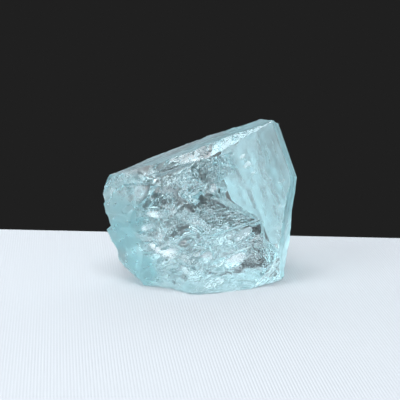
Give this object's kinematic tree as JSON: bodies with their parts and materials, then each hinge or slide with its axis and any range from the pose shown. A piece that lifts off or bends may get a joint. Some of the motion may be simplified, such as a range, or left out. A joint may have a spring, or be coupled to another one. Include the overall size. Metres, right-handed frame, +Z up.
{
  "type": "blue topaz crystal",
  "caption": "Broken end of a clear pale blue topaz prism, with a flat basal face, a striated front face and shell-like fractures, resting on its foot.",
  "frame": {"origin": "on the surface that the crystal rests on, under the middle of its bounding box", "axes": "+Z up, +X along the long side of the crystal, to the right seen from the striated front face, which faces -Y"},
  "size_m": [0.0322, 0.0206, 0.0265],
  "materials": {
    "topaz": "polished"
  },
  "bodies": {
    "root": {"topaz_crystal": "topaz"}
  },
  "joints": []
}
